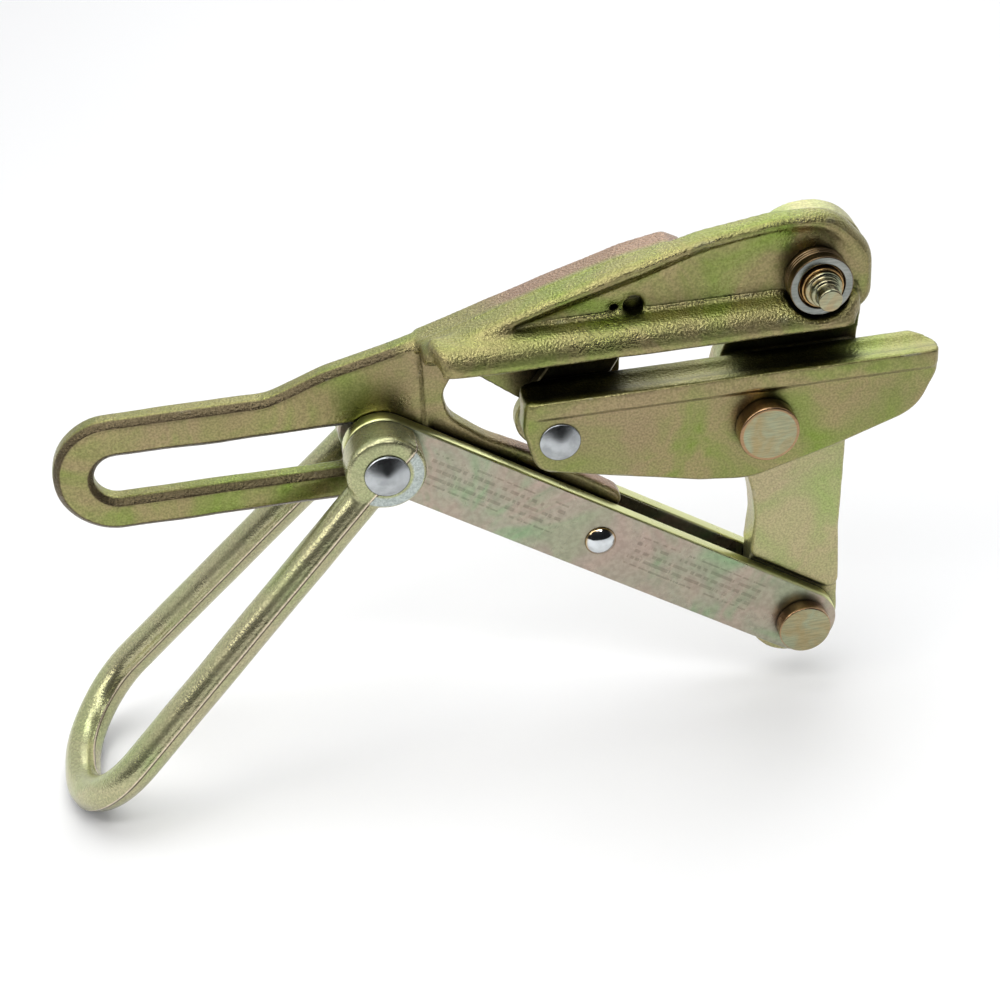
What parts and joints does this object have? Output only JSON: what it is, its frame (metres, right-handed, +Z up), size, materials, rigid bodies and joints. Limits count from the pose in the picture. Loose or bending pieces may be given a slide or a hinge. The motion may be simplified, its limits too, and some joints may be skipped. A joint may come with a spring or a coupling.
{
  "type": "wire rope pulling grip",
  "caption": "Parallel-jaw wire rope pulling grip: forged body with slotted tail, moving jaw on a lever, paired links and a swinging pulling bail",
  "frame": {"origin": "on the axis of the gripped rope, at the middle of the fixed jaw", "axes": "+X along the gripped rope toward the jaw end, away from the pulling bail; +Y away from the open side of the jaws; +Z up"},
  "size_m": [0.2758, 0.0676, 0.1728],
  "materials": {
    "plated_forging": "yellow-dichromate zinc on a forged surface, satin",
    "plated_plate": "yellow-dichromate zinc on smooth plate, satin with pale iridescence",
    "plated_fastener": "yellow-dichromate zinc on turned steel, satin",
    "bright_rivet": "bright zinc, turned or pressed dome, polished"
  },
  "bodies": {
    "body": {"body_frame": "plated_forging", "pivot_bolt": "plated_fastener", "pivot_nut": "plated_fastener", "pivot_washer": "plated_fastener", "guide_pin": "plated_fastener"},
    "lever": {"lever": "plated_forging", "jaw_pin": "plated_fastener", "jaw_pin_washer": "plated_fastener"},
    "jaw": {"lower_jaw": "plated_forging", "jaw_rivet": "bright_rivet"},
    "guide": {"guide_link": "plated_plate"},
    "links": {"front_link": "plated_plate", "rear_link": "plated_plate", "centre_rivet": "bright_rivet", "centre_spacer": "plated_fastener", "link_pin": "plated_fastener", "link_pin_washer": "plated_fastener", "slide_pin": "bright_rivet", "slide_sleeve": "plated_fastener"},
    "bail": {"bail": "plated_forging"}
  },
  "joints": [
    {"name": "lever_pivot", "type": "hinge", "parent": "body", "child": "lever", "pos_m": [0.0455, 0.0142, 0.0145], "axis": [0, 1, 0], "range_deg": [0, 20]},
    {"name": "jaw_pivot", "type": "hinge", "parent": "lever", "child": "jaw", "pos_m": [0.0281, 0.0142, -0.0277], "axis": [0, 1, 0], "range_deg": [-20, 0]},
    {"name": "guide_pivot", "type": "hinge", "parent": "body", "child": "guide", "pos_m": [-0.0082, 0.0122, 0.0122], "axis": [0, 1, 0], "range_deg": [0, 19.6]},
    {"name": "link_pivot", "type": "hinge", "parent": "lever", "child": "links", "pos_m": [0.0433, 0.0142, -0.1104], "axis": [0, 1, 0], "range_deg": [-23.28, 0]},
    {"name": "bail_pivot", "type": "hinge", "parent": "links", "child": "bail", "pos_m": [-0.0847, 0.0142, -0.0262], "axis": [0, 1, 0], "range_deg": [-60, 75]}
  ],
  "couplings": [
    {"joint": "jaw_pivot", "follows": "lever_pivot", "ratio": -1},
    {"joint": "guide_pivot", "follows": "lever_pivot", "ratio": 0.98},
    {"joint": "link_pivot", "follows": "lever_pivot", "ratio": -1.164}
  ]
}
